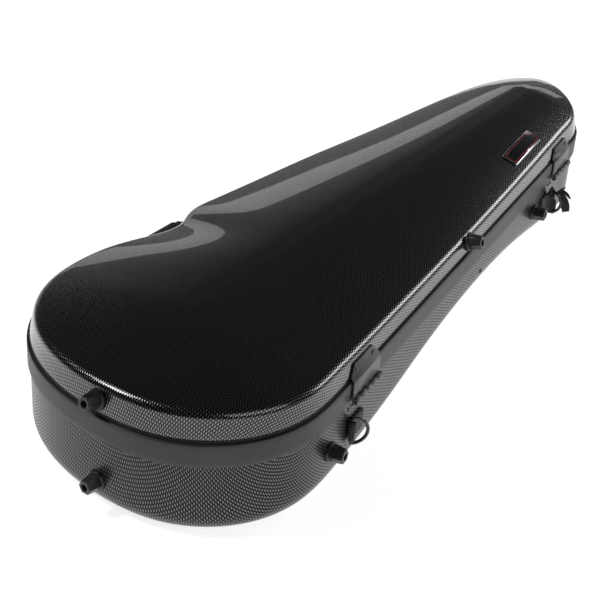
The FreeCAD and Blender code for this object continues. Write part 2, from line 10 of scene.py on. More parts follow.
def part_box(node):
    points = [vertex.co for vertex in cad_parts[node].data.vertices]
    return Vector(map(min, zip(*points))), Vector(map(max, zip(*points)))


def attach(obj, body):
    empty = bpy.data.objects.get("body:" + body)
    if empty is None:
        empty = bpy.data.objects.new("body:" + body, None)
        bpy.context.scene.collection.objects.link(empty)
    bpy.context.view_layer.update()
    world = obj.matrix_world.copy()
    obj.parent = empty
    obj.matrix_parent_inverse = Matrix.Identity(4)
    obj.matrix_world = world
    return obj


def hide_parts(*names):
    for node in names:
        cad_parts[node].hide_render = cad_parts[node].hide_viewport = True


# A shaped violin case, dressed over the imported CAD. Lengths below are in millimetres in the
# CAD's own frame, and MM turns them into metres where a mesh is made.
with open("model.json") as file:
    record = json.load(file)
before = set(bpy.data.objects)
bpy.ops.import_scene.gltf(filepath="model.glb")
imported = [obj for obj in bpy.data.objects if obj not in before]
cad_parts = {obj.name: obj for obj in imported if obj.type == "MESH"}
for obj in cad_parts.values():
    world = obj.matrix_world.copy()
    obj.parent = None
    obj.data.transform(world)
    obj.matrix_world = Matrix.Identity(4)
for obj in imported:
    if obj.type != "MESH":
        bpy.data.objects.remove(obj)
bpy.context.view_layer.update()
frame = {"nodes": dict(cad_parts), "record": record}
NODES = frame["nodes"]
MM = 0.001

# ---- dimensions shared with the CAD --------------------
HINGE_SIDE = [(132.7, 44.0), (66.5, 594.0)]
STRAIGHT_STEPS = 22
WALL = 3.0
TUB_TOP = 86.0
RIM_BOTTOM, RIM_TOP, RIM_OUT, RIM_IN = 67.0, 87.4, 2.3, 4.0
GASKET_TOP = 89.8
LID_EDGE = 90.0
BOTTOM_RADIUS = 20.0
ARCH_LIFT, ARCH_START, ARCH_PEAK, ARCH_END = 27.0, 20.0, 342.0, 645.0
RIDGE_Z, RIDGE_RISE, RIDGE_MID_Y, RIDGE_HALF, RIDGE_RADIUS = 104.8, 9.0, 290.0, 390.0, 8.0
LID_DRAFT = 0.2
LID_TOP = 124.5
CROWN_POWER = 1.5
SPINE_HALF_X = 5.0
SPINE_Y = (20.0, 600.0)
FEET = {
    "base_end": (9.0, -102.0, 26.0, 0.0),
    "base_near": (134.0, 27.0, 37.0, 0.0),
    "base_far": (79.0, 488.0, 46.0, 0.0),
    "lid_end": (8.3, -102.0, 99.6, 11.0),
    "lid_side": (100.0, 298.0, 98.6, 11.0),
}
FOOT_SINK = 0.4
DRING_AT = [(130.8, 59.0, 38.0), (74.3, 529.0, 42.0)]
DRING_BAR_OUT = 3.4
TAB_LENGTH, TAB_HALF = 22.0, 9.5
HANDLE_AXIS = (-128.5, 74.0)
HANDLE_Y = (110.0, 220.0)
HANDLE_REACH, HANDLE_DROOP, HANDLE_R, HANDLE_BOSS_R = 20.4, 17.0, 7.5, 4.6
BADGE_AT, BADGE_SIZE = (57.9, 483.8), (16.4, 69.4)
CRADLE_Y = (350.0, 386.0)
WELL = (36.0, 76.0, 320.0, 430.0)
LINER_TOP = 84.0
LINER_GAP, LID_LINER_THICK = 0.2, 4.0

# ---- fineness of the meshes, and the weave --------------------
COLUMNS = 480             # mesh columns round the outline
FINE_COLUMNS = 6000       # points used to find the nearest place on the outline
LID_WALL_RINGS, LID_RIDGE_RINGS, LID_CROWN_RINGS = 6, 13, 31
BASE_WALL_RINGS, BASE_TURN_RINGS, BASE_FLOOR_RINGS = 9, 11, 21
DASH_ACROSS, DASH_ROW = 2.3, 2.78     # spacing of the weave's dashes, across and along the case
DASH_START, DASH_FULL = -0.05, 0.7    # pattern values where a dash begins and is brightest
ROW_WEIGHT = 0.08         # how much whole rows show beside their dashes
WEAVE_SLANT = 0.2         # each row is shifted sideways by this share of its distance
WEAVE_DEPTH = 0.12        # of the bump
BASE_WEAVE_STRETCH = 0.72     # the cloth is drawn out a little up the base wall


# ---- outline --------------------
def periodic_spline(points, count):
    """Points and outward normals round a smooth closed curve through the given points."""
    p = np.array(points, float)
    n = len(p)
    h = np.linalg.norm(np.roll(p, -1, 0) - p, axis=1)
    system = np.zeros((n, n))
    rhs = np.zeros((n, 2))
    for i in range(n):
        before, after = h[i - 1], h[i]
        nxt = (i + 1) % n
        system[i, i - 1] += 1 / before
        system[i, i] += 2 / before + 2 / after
        system[i, nxt] += 1 / after
        rhs[i] = 3 * ((p[i] - p[i - 1]) / before ** 2 + (p[nxt] - p[i]) / after ** 2)
    slope = np.linalg.solve(system, rhs)
    starts = np.concatenate([[0], np.cumsum(h)])
    at = np.linspace(0, starts[-1], count, endpoint=False)
    seg = np.clip(np.searchsorted(starts, at, side="right") - 1, 0, n - 1)
    length = h[seg][:, None]
    t = ((at - starts[seg])[:, None]) / length
    a, b = p[seg], p[(seg + 1) % n]
    ma, mb = slope[seg] * length, slope[(seg + 1) % n] * length
    place = (2 * t ** 3 - 3 * t ** 2 + 1) * a + (t ** 3 - 2 * t ** 2 + t) * ma
    place = place + (3 * t ** 2 - 2 * t ** 3) * b + (t ** 3 - t ** 2) * mb
    along = (6 * t ** 2 - 6 * t) * (a - b) + (3 * t ** 2 - 4 * t + 1) * ma + (3 * t ** 2 - 2 * t) * mb
    along /= np.linalg.norm(along, axis=1)[:, None]
    return place, np.stack([along[:, 1], -along[:, 0]], 1)


def outline(count):
    """The case seen from above, round from the wide end, past the hinges and the neck."""
    wide_end = [(3.6, -101.9), (65.7, -96.1), (115.1, -60.1), (134.6, -13.9)]
    (x0, y0), (x1, y1) = HINGE_SIDE
    straight = []
    for step in range(STRAIGHT_STEPS + 1):
        part = step / STRAIGHT_STEPS
        straight.append((x0 + (x1 - x0) * part, y0 + (y1 - y0) * part))
    neck_end = [(56, 622), (36, 648), (10, 667), (-14, 671), (-38, 657), (-57, 627)]
    far_side = [(-71.9, 576.2), (-84.3, 499.9), (-95.7, 420), (-107.9, 338.2), (-115.9, 265.5)]
    recess = [(-122.8, 200), (-123.5, 177), (-118.5, 159), (-113.5, 144), (-115, 126), (-122, 105)]
    far_corner = [(-131, 78), (-135.5, 44.6), (-126, -18.4), (-93.6, -63.9), (-50.2, -89.9)]
    return periodic_spline(wide_end + straight + neck_end + far_side + recess + far_corner, count)


RING, NORMAL = outline(COLUMNS)
FINE_RING, FINE_NORMAL = outline(FINE_COLUMNS)


def wall_matrix(x, y, z, tilt=0.0):
    """On the wall near (x, y): local X points out of it, local Y along it, Z up. In metres."""
    i = int(np.argmin(np.hypot(*(FINE_RING - (x, y)).T)))
    (px, py), (nx, ny) = FINE_RING[i], FINE_NORMAL[i]
    turn = Matrix.Rotation(math.atan2(ny, nx), 4, "Z")
    lean = Matrix.Rotation(-math.radians(tilt), 4, "Y")
    return Matrix.Translation(Vector((px, py, z)) * MM) @ turn @ lean


def hinge_turn():
    """The turn that carries Y along the straight hinge side."""
    (x0, y0), (x1, y1) = HINGE_SIDE
    return Matrix.Rotation(math.atan2(x0 - x1, y1 - y0), 3, "Z")


# ---- materials --------------------
class Look:
    """A procedural material built node by node round one Principled shader."""

    def __init__(self, name, **sockets):
        self.mat = bpy.data.materials.new(name)
        self.mat.use_nodes = True
        self.tree = self.mat.node_tree
        self.tree.nodes.clear()
        self.bsdf = self.node("ShaderNodeBsdfPrincipled")
        out = self.node("ShaderNodeOutputMaterial")
        self.tree.links.new(self.bsdf.outputs[0], out.inputs[0])
        for key, value in sockets.items():
            self.bsdf.inputs[key.replace("_", " ")].default_value = value

    def node(self, kind, **settings):
        made = self.tree.nodes.new(kind)
        for key, value in settings.items():
            setattr(made, key, value)
        return made

    def feed(self, socket, value):
        if isinstance(value, bpy.types.NodeSocket):
            self.tree.links.new(value, socket)
        else:
            socket.default_value = value

    def math(self, operation, *values):
        made = self.node("ShaderNodeMath", operation=operation)
        for socket, value in zip(made.inputs, values):
            self.feed(socket, value)
        return made.outputs[0]

    def place(self, uv=None):
        if uv:
            return self.node("ShaderNodeUVMap", uv_map=uv).outputs[0]
        return self.node("ShaderNodeTexCoord").outputs["Object"]

    def split(self, vector):
        made = self.node("ShaderNodeSeparateXYZ")
        self.feed(made.inputs[0], vector)
        return made.outputs

    def noise(self, vector, scale, detail=3.0, rough=0.5):
        made = self.node("ShaderNodeTexNoise")
        self.feed(made.inputs["Vector"], vector)
        made.inputs["Scale"].default_value = scale
        made.inputs["Detail"].default_value = detail
        made.inputs["Roughness"].default_value = rough
        return made.outputs[0]

    def ranged(self, value, low, high, to_low=0.0, to_high=1.0, smooth=False):
        made = self.node("ShaderNodeMapRange")
        if smooth:
            made.interpolation_type = "SMOOTHSTEP"
        for socket, number in zip(made.inputs, (value, low, high, to_low, to_high)):
            self.feed(socket, number)
        return made.outputs[0]

    def mix(self, factor, a, b):
        made = self.node("ShaderNodeMix", data_type="RGBA")
        for socket, value in zip((made.inputs[0], made.inputs[6], made.inputs[7]), (factor, a, b)):
            self.feed(socket, (*value, 1.0) if isinstance(value, tuple) and len(value) == 3 else value)
        return made.outputs[2]

    def color(self, value):
        self.feed(self.bsdf.inputs["Base Color"], value)

    def rough(self, value):
        self.feed(self.bsdf.inputs["Roughness"], value)

    def bump(self, height, depth, strength=1.0):
        made = self.node("ShaderNodeBump")
        made.inputs["Strength"].default_value = strength
        made.inputs["Distance"].default_value = depth
        self.feed(made.inputs["Height"], height)
        self.feed(self.bsdf.inputs["Normal"], made.outputs[0])


def carbon(name, dark, bright, metallic, rough, coat, coat_rough):
    """Woven carbon look under a clear coat: staggered rows of bright dashes on dark cloth."""
    look = Look(name, Metallic=metallic, Coat_Weight=coat, Coat_Roughness=coat_rough, Coat_IOR=1.5)
    u, v, _ = look.split(look.place("weave"))
    across = look.math("ADD", u, look.math("MULTIPLY", v, WEAVE_SLANT))
    column = look.math("COSINE", look.math("MULTIPLY", across, math.tau / (DASH_ACROSS * MM)))
    stagger = look.math("COSINE", look.math("MULTIPLY", v, math.pi / (DASH_ROW * MM)))
    row = look.math("COSINE", look.math("MULTIPLY", v, math.tau / (DASH_ROW * MM)))
    dash = look.math("ADD", look.math("MULTIPLY", column, stagger), look.math("MULTIPLY", row, ROW_WEIGHT))
    tow = look.ranged(dash, DASH_START, DASH_FULL, smooth=True)
    cloud = look.noise(look.place(), 18.0)
    tow = look.math("MULTIPLY", tow, look.ranged(cloud, 0.3, 0.7, 0.88, 1.0))
    look.color(look.mix(tow, dark, bright))
    look.rough(look.ranged(tow, 0.0, 1.0, rough + 0.1, rough))
    look.bump(dash, WEAVE_DEPTH * MM, 0.35)
    return look.mat


def satin(name, color, rough, grain=900.0, depth=0.00004, **sockets):
    """Painted or moulded surface with fine grain, slight cloudiness and rubbed spots."""
    look = Look(name, **sockets)
    where = look.place()
    cloud = look.noise(where, 35.0)
    fine = look.noise(where, grain)
    light = tuple(c * 1.25 + 0.004 for c in color)
    look.color(look.mix(look.ranged(cloud, 0.35, 0.7), color, light))
    look.rough(look.ranged(fine, 0.3, 0.7, rough - 0.05, rough + 0.06))
    look.bump(fine, depth, 0.4)
    return look.mat


def woven(name, color, pitch, sheen=0.3):
    """Plain-woven webbing or ribbon."""
    look = Look(name, Sheen_Weight=sheen, Sheen_Roughness=0.4)
    x, y, z = look.split(look.place())
    total = look.math("ADD", x, y)
    a = look.math("SINE", look.math("MULTIPLY", total, math.tau / pitch))
    b = look.math("SINE", look.math("MULTIPLY", z, math.tau / pitch))
    check = look.math("MULTIPLY", a, b)
    fine = look.noise(look.place(), 1500.0)
    light = tuple(c * 2.2 + 0.006 for c in color)
    look.color(look.mix(look.ranged(look.math("ADD", check, fine), 0.0, 1.4), color, light))
    look.rough(look.ranged(fine, 0.3, 0.7, 0.6, 0.85))
    look.bump(check, 0.00015, 0.6)
    return look.mat


def plush(name, color):
    """Short pile with brushed patches."""
    look = Look(name, Roughness=0.95, Sheen_Weight=0.7, Sheen_Roughness=0.35)
    where = look.place()
    brushed = look.noise(where, 22.0, 4.0)
    pile = look.noise(where, 1400.0, 2.0)
    light = tuple(c * 1.7 + 0.01 for c in color)
    tone = look.math("ADD", look.ranged(brushed, 0.35, 0.65, 0.0, 0.6), look.ranged(pile, 0.3, 0.7, 0.0, 0.4))
    look.color(look.mix(tone, color, light))
    look.bump(look.math("ADD", look.math("MULTIPLY", brushed, 3.0), pile), 0.0006, 0.7)
    return look.mat


def leather(name, color):
    """Grained leather, worn lighter in patches."""
    look = Look(name, Coat_Weight=0.15, Coat_Roughness=0.35)
    where = look.place()
    cells = look.node("ShaderNodeTexVoronoi", feature="DISTANCE_TO_EDGE")
    look.feed(cells.inputs["Vector"], where)
    cells.inputs["Scale"].default_value = 620.0
    grain = look.ranged(cells.outputs[0], 0.0, 0.25)
    worn = look.noise(where, 60.0)
    light = tuple(c * 2.0 + 0.01 for c in color)
    look.color(look.mix(look.ranged(worn, 0.45, 0.75), color, light))
    look.rough(look.ranged(grain, 0.0, 1.0, 0.6, 0.42))
    look.bump(grain, 0.00025, 0.6)
    return look.mat


LOOKS = {
    "carbon_lid": carbon("carbon_lid", (0.001, 0.0011, 0.0015), (0.225, 0.23, 0.242),
        metallic=0.94, rough=0.24, coat=0.75, coat_rough=0.025),
    "carbon_base": carbon("carbon_base", (0.0012, 0.0014, 0.0017), (0.165, 0.17, 0.176),
        metallic=0.8, rough=0.3, coat=0.15, coat_rough=0.07),
    "rim_profile": satin("rim_profile", (0.014, 0.0145, 0.0155), 0.46),
    "gasket_rubber": satin("gasket_rubber", (0.006, 0.006, 0.0065), 0.7),
    "foot_rubber": satin("foot_rubber", (0.009, 0.009, 0.01), 0.36, 700.0),
    "steel_screw": satin("steel_screw", (0.3, 0.3, 0.31), 0.35, 1200.0, Metallic=1.0),
    "hinge_metal": satin("hinge_metal", (0.065, 0.067, 0.07), 0.38, Metallic=0.2),
    "rivet_metal": satin("rivet_metal", (0.03, 0.03, 0.031), 0.32, Metallic=0.4),
    "ring_metal": satin("ring_metal", (0.012, 0.012, 0.013), 0.22, 400.0, Metallic=0.3, Coat_Weight=0.5),
    "latch_metal": satin("latch_metal", (0.022, 0.022, 0.024), 0.35, Metallic=0.4),
    "webbing": woven("webbing", (0.008, 0.008, 0.009), 0.0012),
    "ribbon_fabric": woven("ribbon_fabric", (0.006, 0.006, 0.007), 0.0008, 0.6),
    "handle_leather": leather("handle_leather", (0.01, 0.01, 0.0105)),
    "plush_lining": plush("plush_lining", (0.028, 0.028, 0.031)),
    "strap_fabric": woven("strap_fabric", (0.015, 0.015, 0.016), 0.0016),
    "pouch_fabric": plush("pouch_fabric", (0.02, 0.02, 0.022)),
    "badge_metal": satin("badge_metal", (0.003, 0.003, 0.0035), 0.15, 300.0, Coat_Weight=1.0,
        Coat_Roughness=0.03),
    "black_plastic": satin("black_plastic", (0.012, 0.012, 0.012), 0.38),
}
BRIGHT_EDGE = satin("bright_edge", (0.62, 0.62, 0.64), 0.2, 800.0, Metallic=1.0)
RED_LINE = satin("red_line", (0.42, 0.012, 0.012), 0.3, 600.0, Coat_Weight=0.6)
THREAD = woven("thread", (0.03, 0.03, 0.032), 0.0007)


# ---- mesh helpers --------------------
def add_piece(name, verts, faces, body, slot, replaces=(), material=None, uv=None, sharp=40.0):
    """A mesh piece from points in metres, in the CAD's frame, riding on a body."""
    mesh = bpy.data.meshes.new(name)
    mesh.from_pydata([tuple(v) for v in verts], [], faces)
    if uv is not None:
        layer = mesh.uv_layers.new(name="weave")
        index = np.zeros(len(mesh.loops), int)
        mesh.loops.foreach_get("vertex_index", index)
        layer.data.foreach_set("uv", np.asarray(uv, float)[index].ravel())
    obj = bpy.data.objects.new(name, mesh)
    return adopt(obj, body, slot, replaces, material, sharp)


def adopt(obj, body, slot, replaces=(), material=None, sharp=40.0):
    """Gives an object its material (the slot's, unless one is given), shading and body, and hides the CAD
    nodes it stands for.
    """
    if obj.name not in bpy.context.scene.collection.objects:
        bpy.context.scene.collection.objects.link(obj)
    if not obj.data.materials:
        obj.data.materials.append(material or LOOKS[slot])
    obj.data.shade_smooth()
    obj.data.set_sharp_from_angle(angle=math.radians(sharp))
    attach(obj, body)
    if replaces:
        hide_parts(*replaces)
    return obj


def loop_faces(rings, count, closed=False):
    """Quads between successive closed rings of count points."""
    faces = []
    pairs = [(r, r + 1) for r in range(rings - 1)]
    if closed:
        pairs.append((rings - 1, 0))
    for low, high in pairs:
        for i in range(count):
            j = (i + 1) % count
            faces.append((low * count + i, low * count + j, high * count + j, high * count + i))
    return faces


def capped_faces(rings, count):
    """Quads between successive rings of count points, closed by a flat face at each end."""
    faces = loop_faces(rings, count)
    faces.append(tuple(range(count))[::-1])
    last = (rings - 1) * count
    faces.append(tuple(range(last, last + count)))
    return faces


def zipper(ring, start, flip):
    """Triangles across a long thin ring, from its low-Y end to its high-Y end."""
    y = ring[:, 1]
    low, high = int(np.argmin(y)), int(np.argmax(y))
    count = len(ring)
    one = [(low + k) % count for k in range((high - low) % count + 1)]
    other = [(low - k) % count for k in range((low - high) % count + 1)]
    a = b = 0
    faces = []
    while a < len(one) - 1 or b < len(other) - 1:
        step_a = b == len(other) - 1 or (a < len(one) - 1 and y[one[a + 1]] <= y[other[b + 1]])
        if step_a:
            tri = (one[a], one[a + 1], other[b])
            a += 1
        else:
            tri = (one[a], other[b + 1], other[b])
            b += 1
        if len(set(tri)) == 3:
            tri = tuple(start + k for k in tri)
            faces.append(tri[::-1] if flip else tri)
    return faces


def swept_band(name, profile, body, slot, replaces):
    """A closed (offset, z) profile carried round the outline."""
    verts = []
    for offset, z in profile:
        xy = RING + NORMAL * offset
        verts.append(np.column_stack([xy, np.full(COLUMNS, z)]))
    faces = [face[::-1] for face in loop_faces(len(profile), COLUMNS, closed=True)]
    return add_piece(name, np.concatenate(verts) * MM, faces, body, slot, replaces)


def shell_piece(name, outer, inner, body, slot, replaces):
    """A closed shell from (points, weave coordinates) rings, outer then inner, edge first."""
    rings = [points for points, _ in reversed(outer)] + [points for points, _ in inner]
    weave = [coords for _, coords in reversed(outer)] + [coords for _, coords in inner]
    faces = loop_faces(len(rings), COLUMNS)
    faces += zipper(rings[0], 0, flip=False)
    faces += zipper(rings[-1], (len(rings) - 1) * COLUMNS, flip=True)
    obj = add_piece(name, np.concatenate(rings) * MM, faces, body, slot, replaces,
                    uv=np.concatenate(weave) * MM, sharp=60.0)
    mesh = bmesh.new()
    mesh.from_mesh(obj.data)
    bmesh.ops.recalc_face_normals(mesh, faces=mesh.faces)
    mesh.to_mesh(obj.data)
    mesh.free()
    return obj


def nearest_on_spine(xy):
    """The nearest points of the narrow strip down the middle of the case."""
    x = np.clip(xy[:, 0], -SPINE_HALF_X, SPINE_HALF_X)
    return np.column_stack([x, np.clip(xy[:, 1], *SPINE_Y)])


def woven_rings(rings, turn, stretch=1.0):
    """Rings of points with their cloth coordinates: flat from ring number turn on, and
    unrolled down the wall before it."""
    points = [np.column_stack([xy, z]) for xy, z in rings]
    weave = [None] * len(points)
    run = np.zeros(COLUMNS)
    for i in range(turn, -1, -1):
        if i < turn:
            run = run + np.linalg.norm(points[i] - points[i + 1], axis=1) * stretch
        weave[i] = points[turn][:, :2] + NORMAL * run[:, None]
    for i in range(turn + 1, len(points)):
        weave[i] = points[i][:, :2]
    return list(zip(points, weave))


# ---- lid shell --------------------
FIRST_TURN = 75.0         # degrees that the ridge is first taken to turn over
TURN_ROUNDS = 4           # repeats that settle it
LID_EDGE_ROUNDING = 0.5


def lid_rings(inset):
    """The lid's surface, moved inwards by inset, from its edge up to the spine."""
    base = RING - NORMAL * inset
    ridge = RIDGE_Z + RIDGE_RISE * ((base[:, 1] - RIDGE_MID_Y) / RIDGE_HALF) ** 2
    wall_top = ridge - inset - RIDGE_RADIUS
    lean = LID_DRAFT * (wall_top - LID_EDGE)
    top = LID_TOP - inset
    last = np.full(COLUMNS, math.radians(FIRST_TURN))
    for _ in range(TURN_ROUNDS):
        back = lean + RIDGE_RADIUS * (1 - np.cos(last))
        xy = base - NORMAL * back[:, None]
        height = wall_top + RIDGE_RADIUS * np.sin(last)
        to = nearest_on_spine(xy)
        reach = np.linalg.norm(to - xy, axis=1)
        last = math.pi / 2 - np.arctan(CROWN_POWER * (top - height) / reach)
    rings = []
    for part in np.linspace(0, 1, LID_WALL_RINGS):
        z = LID_EDGE + (wall_top - LID_EDGE) * part
        rings.append((base - NORMAL * (LID_DRAFT * (z - LID_EDGE))[:, None], z))
    for part in np.linspace(0, 1, LID_RIDGE_RINGS)[1:]:
        a = last * part
        back = lean + RIDGE_RADIUS * (1 - np.cos(a))
        rings.append((base - NORMAL * back[:, None], wall_top + RIDGE_RADIUS * np.sin(a)))
    edge_ring = rings[-1]
    for part in np.linspace(0, 1, LID_CROWN_RINGS)[1:-1]:
        up = 1 - (1 - part) ** CROWN_POWER
        rings.append((edge_ring[0] + (to - edge_ring[0]) * part, edge_ring[1] + (top - edge_ring[1]) * up))
    return woven_rings(rings, LID_WALL_RINGS + LID_RIDGE_RINGS - 2)


def make_lid_shell():
    """The lid, its lower edge slightly rounded on the outside."""
    outer, inner = lid_rings(0.0), lid_rings(WALL)
    soft = outer[0][0].copy()
    soft[:, :2] -= NORMAL * LID_EDGE_ROUNDING
    outer[0][0][:, 2] += LID_EDGE_ROUNDING
    outer = [(soft, outer[0][1])] + outer
    return shell_piece("lid_shell_carbon", outer, inner, "lid", "carbon_lid", ["lid_shell"])


# ---- base shell --------------------
def arch(y):
    """Height of the bottom: flat, then up and down in four tangent arcs, then flat."""
    y = np.asarray(y, float)

    def half_curve(t, run, rise):
        """Two equal tangent arcs from level to level over run, as a function of 0 <= t <= run."""
        dy, dz = run / 2, rise / 2
        radius = (dy * dy + dz * dz) / (2 * dz)
        first = radius - np.sqrt(np.maximum(radius ** 2 - t ** 2, 0))
        second = rise - (radius - np.sqrt(np.maximum(radius ** 2 - (run - t) ** 2, 0)))
        return np.where(t < dy, first, second)

    up = half_curve(np.clip(y - ARCH_START, 0, ARCH_PEAK - ARCH_START), ARCH_PEAK - ARCH_START, ARCH_LIFT)
    down = half_curve(np.clip(ARCH_END - y, 0, ARCH_END - ARCH_PEAK), ARCH_END - ARCH_PEAK, ARCH_LIFT)
    return np.where(y < ARCH_PEAK, up, down)


def base_rings(inset, top):
    """The tub's surface, moved inwards by inset, from its top edge down to the spine."""
    base = RING - NORMAL * inset
    radius = BOTTOM_RADIUS - inset
    rings = []
    foot = arch((base - NORMAL * radius)[:, 1]) + inset
    low = arch(base[:, 1]) + inset + radius
    for part in np.linspace(0, 1, BASE_WALL_RINGS):
        rings.append((base, top + (low - top) * part))
    for part in np.linspace(0, 1, BASE_TURN_RINGS)[1:]:
        a = math.pi / 2 * part
        xy = base - NORMAL * (radius * (1 - math.cos(a)))
        blend = low + (foot + radius - low) * part
        rings.append((xy, blend - radius * math.sin(a)))
    edge = rings[-1][0]
    to = nearest_on_spine(edge)
    for part in np.linspace(0, 1, BASE_FLOOR_RINGS)[1:-1]:
        xy = edge + (to - edge) * part
        rings.append((xy, arch(xy[:, 1]) + inset))
    return woven_rings(rings, BASE_WALL_RINGS + BASE_TURN_RINGS - 2, BASE_WEAVE_STRETCH)


def make_base_shell():
    outer, inner = base_rings(0.0, TUB_TOP), base_rings(WALL, TUB_TOP)
    return shell_piece("base_shell_carbon", outer, inner, "base", "carbon_base", ["base_shell"])


def make_rim():
    """The rim profile over the tub's edge, and the gasket's lip on top of it."""
    out, inn = RIM_OUT, -RIM_IN
    profile = [(0.0, RIM_BOTTOM), (1.5, RIM_BOTTOM), (2.0, RIM_BOTTOM + 0.2), (out, RIM_BOTTOM + 0.8)]
    profile += [(out, 72.0), (out, 82.0), (out, RIM_TOP - 1.1), (2.05, RIM_TOP - 0.45), (1.4, RIM_TOP - 0.05)]
    profile += [(0.9, RIM_TOP), (inn + 0.3, RIM_TOP), (inn, RIM_TOP - 0.3), (inn, TUB_TOP), (0.0, TUB_TOP)]
    swept_band("rim_band", profile, "base", "rim_profile", ["base_rim"])
    lip = [(-3.6, RIM_TOP), (-0.3, RIM_TOP), (-0.5, 88.2), (-0.35, 89.2), (-0.8, GASKET_TOP)]
    lip += [(-1.5, 89.3), (-2.4, 89.3), (-3.1, GASKET_TOP), (-3.6, 89.3)]
    swept_band("gasket_lip", lip, "base", "gasket_rubber", ["rim_gasket"])


# ---- feet --------------------
FOOT_SEGMENTS = 60
HEX_SWELL = 1.015         # keeps the softened hexagon as wide as a sharp one
HEX_SHARPNESS = 26


def six_sided(angle, corner_r):
    """Radius of a hexagon with softened corners."""
    apothem = corner_r * math.cos(math.pi / 6) * HEX_SWELL
    total = 0.0
    for k in range(6):
        total += max(math.cos(angle - math.radians(30 + 60 * k)), 0.0) ** HEX_SHARPNESS
    return apothem / total ** (1 / HEX_SHARPNESS)


def make_foot(name, place):
    """A round flange and a tapering hexagonal stud with a bore for its screw."""
    x, y, z, tilt = place
    frame_at = wall_matrix(x, y, z, tilt)
    if name.startswith("lid"):
        frame_at = frame_at @ Matrix.Translation(Vector((FOOT_SINK - LID_DRAFT * (z - LID_EDGE), 0, 0)) * MM)
    stations = [(0, 8.5, 0), (1.5, 8.5, 0), (2.1, 8.25, 0), (2.4, 7.7, 0), (2.45, 7.55, 1), (3.2, 7.62, 1)]
    stations += [(12.3, 6.36, 1), (12.9, 6.2, 1), (13.3, 5.9, 1), (13.5, 5.45, 1)]
    stations += [(13.5, 3.35, 0), (13.3, 3.0, 0), (13.0, 2.9, 0), (5.5, 2.9, 0), (5.5, 1.0, 0)]
    verts = []
    for out, radius, hexed in stations:
        for i in range(FOOT_SEGMENTS):
            a = math.tau * i / FOOT_SEGMENTS
            r = six_sided(a, radius) if hexed else radius
            verts.append(frame_at @ (Vector((out, r * math.cos(a), r * math.sin(a))) * MM))
    body = "lid" if name.startswith("lid") else "base"
    add_piece("foot_stud_" + name, verts, capped_faces(len(stations), FOOT_SEGMENTS), body,
              "foot_rubber", ["foot_" + name], sharp=30.0)


# ---- hard parts copied from the CAD, with softened edges --------------------
SAME_POINT = 1e-6         # metres between points that are merged
FLAT_ANGLE = 0.8          # degrees below which faces are joined into one


def soften(node, body, slot, edge=0.3, segments=2, angle=32.0, edge_material=None, name=None):
    """A copy of a CAD node with its edges rounded, standing for the node."""
    mesh = bmesh.new()
    mesh.from_mesh(NODES[node].data)
    bmesh.ops.remove_doubles(mesh, verts=mesh.verts, dist=SAME_POINT)
    flat = math.radians(FLAT_ANGLE)
    bmesh.ops.dissolve_limit(mesh, angle_limit=flat, verts=mesh.verts, edges=mesh.edges)
    steep = math.radians(angle)
    sharp = [e for e in mesh.edges if len(e.link_faces) == 2 and e.calc_face_angle(0) > steep]
    bmesh.ops.bevel(mesh, geom=sharp, offset=edge * MM, segments=segments, profile=0.5,
                    affect="EDGES", clamp_overlap=True, material=1 if edge_material else -1)
    bmesh.ops.remove_doubles(mesh, verts=mesh.verts, dist=SAME_POINT)
    data = bpy.data.meshes.new(name or node + "_soft")
    mesh.to_mesh(data)
    mesh.free()
    data.materials.append(LOOKS[slot])
    if edge_material:
        data.materials.append(edge_material)
    obj = bpy.data.objects.new(name or node + "_edged", data)
    return adopt(obj, body, slot, [node], sharp=50.0)


# ---- straps, tubes and stitches --------------------
UP, SIDEWISE = np.array([0.0, 0.0, 1.0]), np.array([1.0, 0.0, 0.0])
BEAD_SIDES = 6            # of a stitch


def smooth_path(points, count):
    """A smooth curve through the given rows of numbers."""
    p = np.array(points, float)
    p = np.vstack([2 * p[0] - p[1], p, 2 * p[-1] - p[-2]])
    at = np.linspace(0, len(p) - 3, count)
    seg = np.minimum(at.astype(int), len(p) - 4)
    t = (at - seg)[:, None]
    a, b, c, d = (p[seg + k] for k in range(4))
    square, cube = 2 * a - 5 * b + 4 * c - d, 3 * b - a - 3 * c + d
    return 0.5 * (2 * b + (c - a) * t + square * t ** 2 + cube * t ** 3)


def unit(rows):
    return rows / np.linalg.norm(rows, axis=1)[:, None]


def circle_points(centre, run, helper, radius, count):
    """Points round a centre, square to run; helper is any direction that run isn't along."""
    one = np.cross(run, helper)
    one /= np.linalg.norm(one)
    two = np.cross(run, one)
    points = []
    for k in range(count):
        turn = math.tau * k / count
        points.append(centre + (one * math.cos(turn) + two * math.sin(turn)) * radius)
    return points


def placed_rows(matrix, rows):
    """Rows in millimetres, carried by a matrix, in metres."""
    return [matrix @ Vector(row * MM) for row in np.asarray(rows, float)]


def strap_points(path, across, half, thick, steps=48, curl=0.0):
    """A flat band with rounded edges along a path; half is its half width, one or per point."""
    centre = smooth_path(path, steps)
    wide = np.broadcast_to(np.asarray(half, float), (len(path),))
    wide = np.maximum(smooth_path(wide[:, None], steps)[:, 0], thick * 0.6)
    side = np.broadcast_to(np.asarray(across, float), (len(path), 3))
    side = unit(smooth_path(side, steps))
    along = unit(np.gradient(centre, axis=0))
    side = unit(side - along * np.sum(side * along, axis=1)[:, None])
    out = np.cross(along, side)
    edge = thick / 2
    flat = (-1.0, -0.5, 0.0, 0.5, 1.0)
    section = [(s, 0, -edge) for s in flat] + [(1.0, edge, 0.0)]
    section += [(s, 0, edge) for s in flat[::-1]] + [(-1.0, -edge, 0.0)]
    points = []
    for c, w, s, o in zip(centre, wide, side, out):
        for share, extra, height in section:
            points.append(c + s * (share * (w - edge) + extra) + o * (height + curl * share * share))
    return points, capped_faces(steps, len(section))


